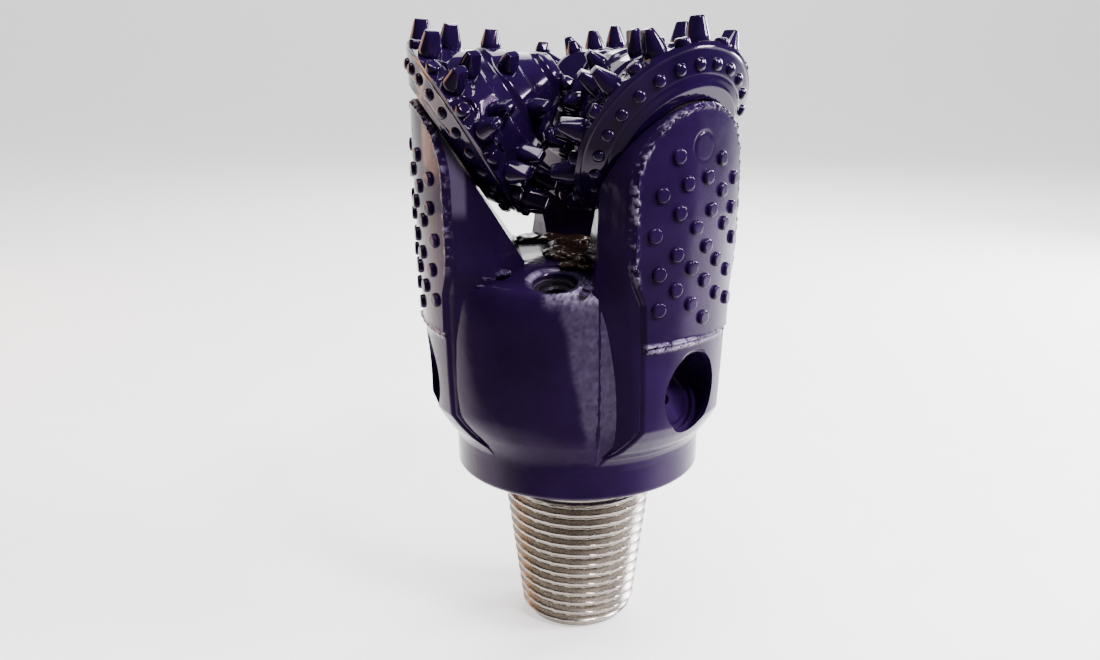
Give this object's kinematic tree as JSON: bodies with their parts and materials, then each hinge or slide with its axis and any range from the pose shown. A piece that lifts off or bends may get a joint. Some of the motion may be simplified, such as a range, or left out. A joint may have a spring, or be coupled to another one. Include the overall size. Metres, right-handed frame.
{
  "type": "tricone drill bit",
  "caption": "Roller-cone rock bit: forged legs carry rolling cutters set with stubby inserts, jet nozzles sit between them, and a tapered pin screws into the drill string.",
  "frame": {"origin": "centre of the make-up shoulder, on the bit axis", "axes": "+Z along the bit axis from the pin towards the cones; -Y is the side of the nozzle boss that faces the camera in the picture"},
  "size_m": [0.1387, 0.1332, 0.2655],
  "materials": {
    "turned_steel": "turned",
    "leg_paint": "gloss",
    "cone_paint": "gloss",
    "bearing_bronze": "machined",
    "seal_rubber": "matte",
    "ball_steel": "polished",
    "cap_steel": "satin",
    "spring_steel": "satin",
    "nozzle_carbide": "satin"
  },
  "bodies": {
    "bit_body": {"pin_shank": "turned_steel", "leg_1": "leg_paint", "thrust_washer_1": "bearing_bronze", "ball_1_1": "ball_steel", "ball_1_2": "ball_steel", "ball_1_3": "ball_steel", "ball_1_4": "ball_steel", "ball_1_5": "ball_steel", "ball_plug_1": "leg_paint", "diaphragm_1": "seal_rubber", "reservoir_cap_1": "cap_steel", "reservoir_ring_1": "spring_steel", "nozzle_1": "nozzle_carbide", "nozzle_seal_1": "seal_rubber", "nozzle_ring_1": "spring_steel", "leg_2": "leg_paint", "thrust_washer_2": "bearing_bronze", "ball_2_1": "ball_steel", "ball_2_2": "ball_steel", "ball_2_3": "ball_steel", "ball_2_4": "ball_steel", "ball_2_5": "ball_steel", "ball_plug_2": "leg_paint", "diaphragm_2": "seal_rubber", "reservoir_cap_2": "cap_steel", "reservoir_ring_2": "spring_steel", "nozzle_2": "nozzle_carbide", "nozzle_seal_2": "seal_rubber", "nozzle_ring_2": "spring_steel", "leg_3": "leg_paint", "thrust_washer_3": "bearing_bronze", "ball_3_1": "ball_steel", "ball_3_2": "ball_steel", "ball_3_3": "ball_steel", "ball_3_4": "ball_steel", "ball_3_5": "ball_steel", "ball_plug_3": "leg_paint", "diaphragm_3": "seal_rubber", "reservoir_cap_3": "cap_steel", "reservoir_ring_3": "spring_steel", "nozzle_3": "nozzle_carbide", "nozzle_seal_3": "seal_rubber", "nozzle_ring_3": "spring_steel"},
    "cutter_1": {"cone_1": "cone_paint", "bush_1": "bearing_bronze", "journal_seal_1": "seal_rubber"},
    "cutter_2": {"cone_2": "cone_paint", "bush_2": "bearing_bronze", "journal_seal_2": "seal_rubber"},
    "cutter_3": {"cone_3": "cone_paint", "bush_3": "bearing_bronze", "journal_seal_3": "seal_rubber"}
  },
  "joints": [
    {"name": "cone_spin_1", "type": "hinge", "parent": "bit_body", "child": "cutter_1", "pos_m": [0.04062, -0.02345, 0.14579], "axis": [-0.687, 0.481, 0.5446], "continuous": true},
    {"name": "cone_spin_2", "type": "hinge", "parent": "bit_body", "child": "cutter_2", "pos_m": [0, 0.0469, 0.14579], "axis": [-0.0731, -0.8355, 0.5446], "continuous": true},
    {"name": "cone_spin_3", "type": "hinge", "parent": "bit_body", "child": "cutter_3", "pos_m": [-0.04062, -0.02345, 0.14579], "axis": [0.7601, 0.3544, 0.5446], "continuous": true}
  ]
}
